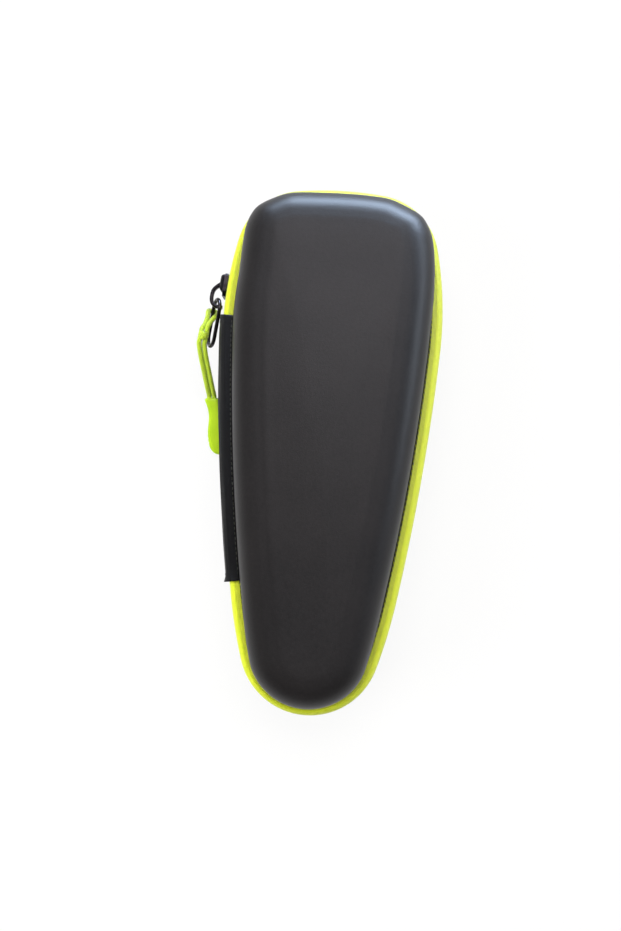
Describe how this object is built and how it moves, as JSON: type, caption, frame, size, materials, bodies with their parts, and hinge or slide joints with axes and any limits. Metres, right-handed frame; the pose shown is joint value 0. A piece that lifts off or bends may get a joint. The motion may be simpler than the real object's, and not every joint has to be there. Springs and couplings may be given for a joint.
{
  "type": "shaver case",
  "caption": "Zipped teardrop hard case for an electric shaver: two moulded shells on a fabric hinge, a bright zip band and a cord pull",
  "frame": {"origin": "middle of the flat back of the rear shell, on the surface that the case lies on", "axes": "+Z out of the lid, +Y towards the wide head end, +X to the right when the lid faces the viewer"},
  "size_m": [0.1027, 0.2178, 0.0571],
  "materials": {
    "case_skin": "matte coated fabric over moulded foam",
    "lining": "short nap",
    "binding": "woven bias tape",
    "zip_tape": "bright woven polyester",
    "zip_coil": "nylon coil",
    "hinge_fabric": "black satin weave with lengthwise creases",
    "elastic": "ribbed elastic",
    "mesh": "open net",
    "slider_metal": "black nickel, satin",
    "wire_metal": "black nickel, bright",
    "cord": "braided cord",
    "tag_rubber": "soft moulded rubber"
  },
  "bodies": {
    "base": {"rear_shell": "case_skin", "rear_lining": "lining", "rear_binding": "binding", "rear_zip_tape": "zip_tape", "rear_zip_coil": "zip_coil", "hinge_cover": "hinge_fabric", "hinge_liner": "hinge_fabric", "zip_end_stops": "binding", "elastic_strap": "elastic", "strap_anchors": "binding"},
    "lid": {"front_shell": "case_skin", "front_lining": "lining", "front_binding": "binding", "front_zip_tape": "zip_tape", "front_zip_coil": "zip_coil", "front_tape_end": "zip_tape", "front_coil_end": "zip_coil", "mesh_pocket": "mesh", "pocket_elastic": "elastic"},
    "slider": {"slider_body": "slider_metal", "slider_bridge": "slider_metal"},
    "wire_loop": {"pull_wire": "wire_metal"},
    "pull": {"cord_bight": "cord", "cord_knot": "cord", "cord_strands": "cord", "pull_tag": "tag_rubber"}
  },
  "joints": [
    {"name": "lid_hinge", "type": "hinge", "parent": "base", "child": "lid", "pos_m": [-0.04847, -0.00282, 0.028], "axis": [0.0989, -0.9951, 0], "range_deg": [0, 180], "deforming": ["hinge_cover", "hinge_liner", "front_tape_end", "front_coil_end"]},
    {"name": "slider_travel", "type": "hinge", "parent": "base", "child": "slider", "pos_m": [0.10928, 0.05134, 0.028], "axis": [0, 0, -1], "range_deg": [0, 5]},
    {"name": "wire_swing", "type": "hinge", "parent": "slider", "child": "wire_loop", "pos_m": [-0.04887, 0.06044, 0.028], "axis": [-0.9955, 0.0946, 0], "range_deg": [-10, 20]},
    {"name": "cord_swing", "type": "hinge", "parent": "wire_loop", "child": "pull", "pos_m": [-0.05145, 0.05604, 0.02275], "axis": [-0.9007, 0.0096, 0.4344], "range_deg": [-20, 12]}
  ]
}
